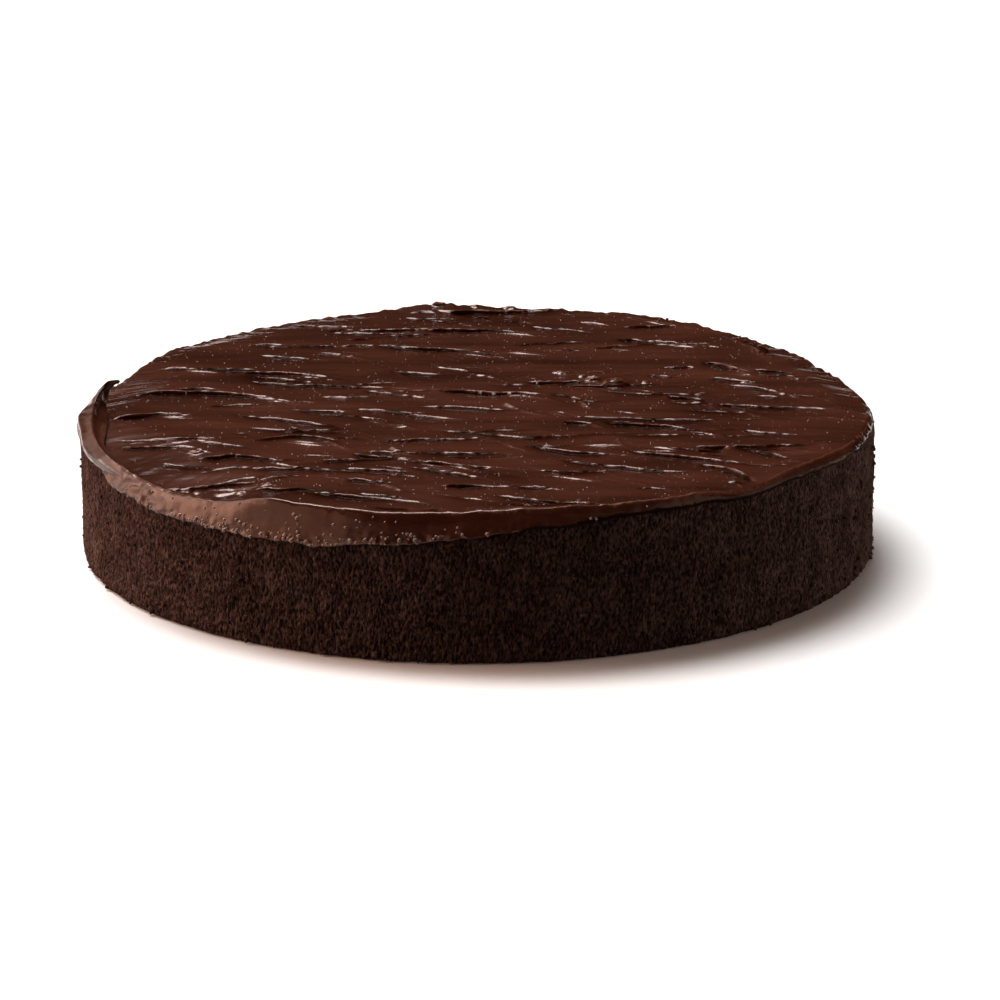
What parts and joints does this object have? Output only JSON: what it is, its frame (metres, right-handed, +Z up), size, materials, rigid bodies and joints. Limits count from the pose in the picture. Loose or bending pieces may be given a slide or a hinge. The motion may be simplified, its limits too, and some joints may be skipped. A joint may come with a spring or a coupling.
{
  "type": "sticky chocolate cake",
  "caption": "Round flat chocolate sponge cake with knife-spread chocolate frosting on top that laps over the edge.",
  "frame": {"origin": "centre of the round base, on the surface that the cake stands on", "axes": "+Z up, -Y towards the side with the long overhang of frosting, +X to the right"},
  "size_m": [0.2529, 0.254, 0.0538],
  "materials": {
    "sponge": "dark brown crumb with fine upright pores, matt, stands in for baked chocolate sponge",
    "frosting": "dark chocolate frosting, smooth knife strokes with a soft wet gloss"
  },
  "bodies": {
    "root": {"sponge": "sponge", "frosting": "frosting"}
  },
  "joints": []
}
